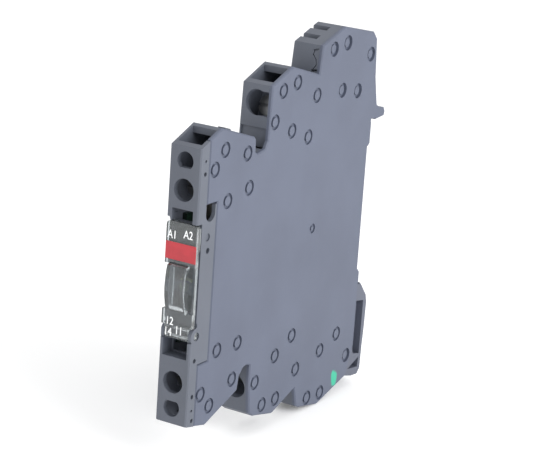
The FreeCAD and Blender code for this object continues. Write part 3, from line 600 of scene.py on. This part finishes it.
def solid_mesh(name, vertices, faces, material):
    """An object made of plain mesh data, linked to the scene."""
    mesh = bpy.data.meshes.new(name)
    mesh.from_pydata(vertices, [], faces)
    mesh.update()
    made = bpy.data.objects.new(name, mesh)
    mesh.materials.append(material)
    bpy.context.collection.objects.link(made)
    return made


def front_of(nodes, x, z):
    """How far forward the foremost of some CAD nodes reaches at x and z."""
    hits = []
    for node in nodes:
        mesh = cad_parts[node].data
        tree = BVHTree.FromPolygons(
            [vertex.co for vertex in mesh.vertices], [face.vertices for face in mesh.polygons]
        )
        found = tree.ray_cast(Vector((x, -0.2, z)), Vector((0, 1, 0)))[0]
        if found:
            hits.append(found.y)
    if not hits:
        raise RuntimeError(f"nothing to print on at {x:.4f}, {z:.4f}")
    return min(hits)


def printed_mark(name, words, centre, nodes, settings, material, body):
    """Prints a few letters on the front of some CAD nodes."""
    curve = bpy.data.curves.new(name, "FONT")
    curve.body = words
    curve.size = settings.height / CAP_SHARE
    curve.align_x = "CENTER"
    curve.align_y = "CENTER"
    curve.extrude = settings.ink / 2
    curve.offset = settings.weight
    curve.resolution_u = 6
    source = bpy.data.objects.new(name + "_source", curve)
    bpy.context.collection.objects.link(source)
    bpy.context.view_layer.update()
    shaped = source.evaluated_get(bpy.context.evaluated_depsgraph_get())
    mesh = bpy.data.meshes.new_from_object(shaped)
    bpy.data.objects.remove(source)
    mesh.name = name
    x, z = centre
    y = front_of(nodes, x, z) - settings.ink / 2
    slim = Matrix.Diagonal((NARROWING, 1.0, 1.0, 1.0))
    stand = Matrix.Rotation(math.radians(90), 4, "X")
    mesh.transform(Matrix.Translation((x, y, z)) @ stand @ slim)
    mesh.materials.clear()
    mesh.materials.append(material)
    made = bpy.data.objects.new(name, mesh)
    bpy.context.collection.objects.link(made)
    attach(made, body)
    return made


# ---------------------------------------------------------------- foot spring


def live_spring(material):
    """A copy of the foot's coil spring, attached to the housing, in place of the hidden CAD node.
    """
    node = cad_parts["foot_spring"]
    mesh = node.data.copy()
    mesh.materials.clear()
    mesh.materials.append(material)
    spring = bpy.data.objects.new("pressed_spring", mesh)
    bpy.context.collection.objects.link(spring)
    spring.matrix_world = node.matrix_world
    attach(spring, "housing")
    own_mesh(spring)
    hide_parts("foot_spring")
    return spring


# ------------------------------------------------------------------ operators


class RELAY_OT_mouldings(bpy.types.Operator):
    """Give the shell, the side cover and the rail foot their mould texture"""

    bl_idname = "relay.mouldings"
    bl_label = "Finish the mouldings"

    def execute(self, context):
        settings = context.scene.relay_mouldings
        wear("base_shell", moulded_plastic("shell_plastic", settings.shell_colour, settings))
        dab = cover_marks(settings)
        cover = moulded_plastic("cover_plastic", settings.cover_colour, settings, dab)
        wear("side_cover", cover)
        wear("rail_foot", moulded_plastic("foot_plastic", settings.foot_colour, settings))
        return {"FINISHED"}


class RELAY_OT_lever(bpy.types.Operator):
    """Give the clear lever, its band, the marker plate and the lamp their finishes"""

    bl_idname = "relay.lever"
    bl_label = "Finish the lever"

    def execute(self, context):
        settings = context.scene.relay_lever
        clear = clear_plastic("lever_polycarbonate", settings.tint)
        wear("ejector_lever", clear)
        wear("light_guide", clear)
        wear("colour_band", printed_film("band_film", settings.band_colour, 0.30))
        wear("marker_plate", printed_film("marker_film", settings.plate_colour, 0.42))
        wear("status_led", dipped_resin("lamp_resin", settings.lamp_colour, 0.20))
        return {"FINISHED"}


class RELAY_OT_clamps(bpy.types.Operator):
    """Plate the clamp screws, the cages and the current bars"""

    bl_idname = "relay.clamps"
    bl_label = "Finish the screw clamps"

    def execute(self, context):
        settings = context.scene.relay_metals
        # The screws and cages take the darkened zinc, which is painted shade for the holes they
        # sit in.
        screw = plated_metal("screw_zinc", settings.zinc, (2600, 300, 2600), 0.20)
        cage = plated_metal("cage_zinc", darker(settings.zinc, 0.92), (300, 2200, 2200))
        bar = plated_metal("bar_tin", settings.tinned, (2400, 260, 2400), 0.30)
        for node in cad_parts:
            for ending, material in (("_screw", screw), ("_cage", cage), ("_bar", bar)):
                if node.endswith(ending):
                    wear(node, material)
        return {"FINISHED"}


class RELAY_OT_board(bpy.types.Operator):
    """Finish the circuit board and the parts on it"""

    bl_idname = "relay.board"
    bl_label = "Finish the board"

    def execute(self, context):
        settings = context.scene.relay_metals
        chip = dipped_resin("chip_epoxy", (0.022, 0.022, 0.024), 0.42)
        for node in ("rectifier", "resistor_a", "resistor_b"):
            wear(node, chip)
        wear("circuit_board", circuit_mask("board_mask", settings.tinned))
        wear("surge_absorber", dipped_resin("absorber_coat", (0.02, 0.07, 0.36), 0.22))
        wear("capacitor", plated_metal("capacitor_can", (0.68, 0.69, 0.71), (2600, 2600, 220)))
        return {"FINISHED"}


class RELAY_OT_works(bpy.types.Operator):
    """Finish the plug-in relay and everything inside it"""

    bl_idname = "relay.works"
    bl_label = "Finish the relay inside"

    def execute(self, context):
        metals = context.scene.relay_metals
        grain = context.scene.relay_mouldings
        iron = plated_metal("iron_plating", (0.50, 0.49, 0.47), (320, 2600, 2600), 0.34)
        bronze = plated_metal("contact_bronze", metals.bronze, (2800, 2800, 260), 0.24)
        tin = plated_metal("pin_tin", metals.tinned, (2400, 300, 2400), 0.28)
        copper = wound_copper("winding_copper", metals.copper, metals.wire)
        case = moulded_plastic("case_plastic", (0.030, 0.032, 0.036), grain)
        floor = moulded_plastic("floor_plastic", (0.045, 0.047, 0.050), grain)
        nylon = moulded_plastic("bobbin_nylon", (0.66, 0.62, 0.52), grain)
        white = moulded_plastic("card_plastic", (0.74, 0.74, 0.68), grain)
        finishes = {
            "relay_case": case,
            "relay_base": floor,
            "coil_bobbin": nylon,
            "actuator_card": white,
            "coil_winding": copper,
            "coil_core": iron,
            "yoke": iron,
            "armature": iron,
            "common_leaf": bronze,
            "common_pin": bronze,
            "make_contact": bronze,
            "break_contact": bronze,
            "coil_pin_a": tin,
            "coil_pin_b": tin,
        }
        for node, material in finishes.items():
            wear(node, material)
        live_spring(plated_metal("spring_wire", (0.52, 0.52, 0.53), (2600, 2600, 260), 0.22))
        return {"FINISHED"}


class RELAY_OT_marks(bpy.types.Operator):
    """Print the terminal numbers on the lever"""

    bl_idname = "relay.marks"
    bl_label = "Print the terminal numbers"

    def execute(self, context):
        settings = context.scene.relay_marks
        white = printed_film("mark_ink", settings.colour, 0.45)
        for words, x, z in NUMBERS:
            printed_mark(
                "mark_" + words.lower(),
                words,
                (x * MM, z * MM),
                ["ejector_lever"],
                settings,
                white,
                "lever",
            )
        return {"FINISHED"}


def soft_light(name, place, width, height, power, colour):
    """A rectangular lamp that looks at the middle of the relay."""
    lamp = bpy.data.lights.new(name, "AREA")
    lamp.shape = "RECTANGLE"
    lamp.size = width
    lamp.size_y = height
    lamp.energy = power
    lamp.color = colour
    made = bpy.data.objects.new(name, lamp)
    made.location = place
    made.rotation_euler = (Vector(LIGHT_AIM) - Vector(place)).to_track_quat("-Z", "Y").to_euler()
    bpy.context.collection.objects.link(made)
    return made


class RELAY_OT_stage(bpy.types.Operator):
    """Set up the floor, the soft lights and the camera"""

    bl_idname = "relay.stage"
    bl_label = "Set the stage"

    def execute(self, context):
        settings = context.scene.relay_stage
        low = CAD_BOX[0][2]
        f = Finish("floor_paper")
        fibre = f.noise(700, 3.0)
        paper = f.surface(
            Base_Color=f.blend(fibre, darker(settings.floor_colour, 0.985), settings.floor_colour),
            Roughness=0.9,
            Normal=f.bump(fibre, 0.02 * MM),
            Emission_Color=(1.0, 1.0, 1.0, 1.0),
            Emission_Strength=0.10,
        )
        turns = ((-1, -1), (1, -1), (1, 1), (-1, 1))
        corners = [(x * FLOOR_HALF, y * FLOOR_HALF, low) for x, y in turns]
        floor = solid_mesh("floor", corners, [(0, 1, 2, 3)], paper)
        white, cool = (1.0, 1.0, 1.0), (0.95, 0.98, 1.0)
        soft_light("main_light", (0.58, -0.10, 0.26), 0.5, 0.5, settings.key_power, white)
        soft_light("fill_light", (-0.35, -0.50, 0.20), 0.4, 0.5, settings.fill_power, cool)
        world = bpy.data.worlds.new("studio")
        world.use_nodes = True
        self.sky(world.node_tree, settings)
        context.scene.world = world
        context.scene.view_settings.view_transform = "Standard"
        self.camera(context, settings)
        return {"FINISHED"}

    def sky(self, tree, settings):
        """Even white light, weaker from the side that the front of the relay faces."""
        place = tree.nodes.new("ShaderNodeTexCoord")
        split = tree.nodes.new("ShaderNodeSeparateXYZ")
        fade = tree.nodes.new("ShaderNodeMapRange")
        fade.interpolation_type = "SMOOTHSTEP"
        for key, value in (
            ("From Min", -0.7),
            ("From Max", 0.2),
            ("To Min", settings.sky * settings.sky_in_front),
            ("To Max", settings.sky),
        ):
            fade.inputs[key].default_value = value
        tree.links.new(place.outputs["Generated"], split.inputs["Vector"])
        tree.links.new(split.outputs["Y"], fade.inputs["Value"])
        light = tree.nodes["Background"]
        light.inputs["Color"].default_value = (1.0, 1.0, 1.0, 1.0)
        tree.links.new(fade.outputs["Result"], light.inputs["Strength"])

    def camera(self, context, settings):
        """The camera stands off the front right corner, a little above, tipped 4 degrees."""
        azimuth, elevation, tip = (math.radians(angle) for angle in CAMERA_ANGLES)
        back = Vector(
            (
                math.sin(azimuth) * math.cos(elevation),
                -math.cos(azimuth) * math.cos(elevation),
                math.sin(elevation),
            )
        )
        level = Vector((math.cos(azimuth), math.sin(azimuth), 0.0))
        upright = back.cross(level)
        right = level * math.cos(tip) + upright * math.sin(tip)
        up = upright * math.cos(tip) - level * math.sin(tip)
        lens = bpy.data.cameras.new("camera")
        lens.lens = settings.lens
        lens.sensor_width = 36.0
        lens.clip_start = 0.01
        lens.clip_end = 20.0
        camera = bpy.data.objects.new("camera", lens)
        turn = Matrix((right, up, back)).transposed().to_4x4()
        camera.matrix_world = Matrix.Translation(CAMERA_PLACE) @ turn
        context.collection.objects.link(camera)
        context.scene.camera = camera


class RELAY_PT_panel(bpy.types.Panel):
    """Lists the relay's settings and steps"""

    bl_label = "Slim Control Relay"
    bl_idname = "RELAY_PT_panel"
    bl_space_type = "VIEW_3D"
    bl_region_type = "UI"
    bl_category = "Relay"

    def draw(self, context):
        layout = self.layout
        for group, steps in STEPS:
            box = layout.box()
            settings = getattr(context.scene, group)
            for name in settings.bl_rna.properties.keys():
                if name not in ("rna_type", "name"):
                    box.prop(settings, name)
            for step in steps:
                box.operator(step.bl_idname)


SETTINGS = (
    ("relay_mouldings", MouldingSettings),
    ("relay_lever", LeverSettings),
    ("relay_metals", MetalSettings),
    ("relay_marks", MarkSettings),
    ("relay_stage", StageSettings),
)
STEPS = (
    ("relay_mouldings", (RELAY_OT_mouldings,)),
    ("relay_lever", (RELAY_OT_lever,)),
    ("relay_metals", (RELAY_OT_clamps, RELAY_OT_board, RELAY_OT_works)),
    ("relay_marks", (RELAY_OT_marks,)),
    ("relay_stage", (RELAY_OT_stage,)),
)


def register():
    for group, kind in SETTINGS:
        bpy.utils.register_class(kind)
        setattr(bpy.types.Scene, group, bpy.props.PointerProperty(type=kind))
    for _, steps in STEPS:
        for step in steps:
            bpy.utils.register_class(step)
    bpy.utils.register_class(RELAY_PT_panel)


def unregister():
    bpy.utils.unregister_class(RELAY_PT_panel)
    for _, steps in reversed(STEPS):
        for step in reversed(steps):
            bpy.utils.unregister_class(step)
    for group, kind in reversed(SETTINGS):
        delattr(bpy.types.Scene, group)
        bpy.utils.unregister_class(kind)


def main():
    register()
    bpy.ops.relay.mouldings()
    bpy.ops.relay.lever()
    bpy.ops.relay.clamps()
    bpy.ops.relay.board()
    bpy.ops.relay.works()
    bpy.ops.relay.marks()
    bpy.ops.relay.stage()


if __name__ == "__main__":
    main()
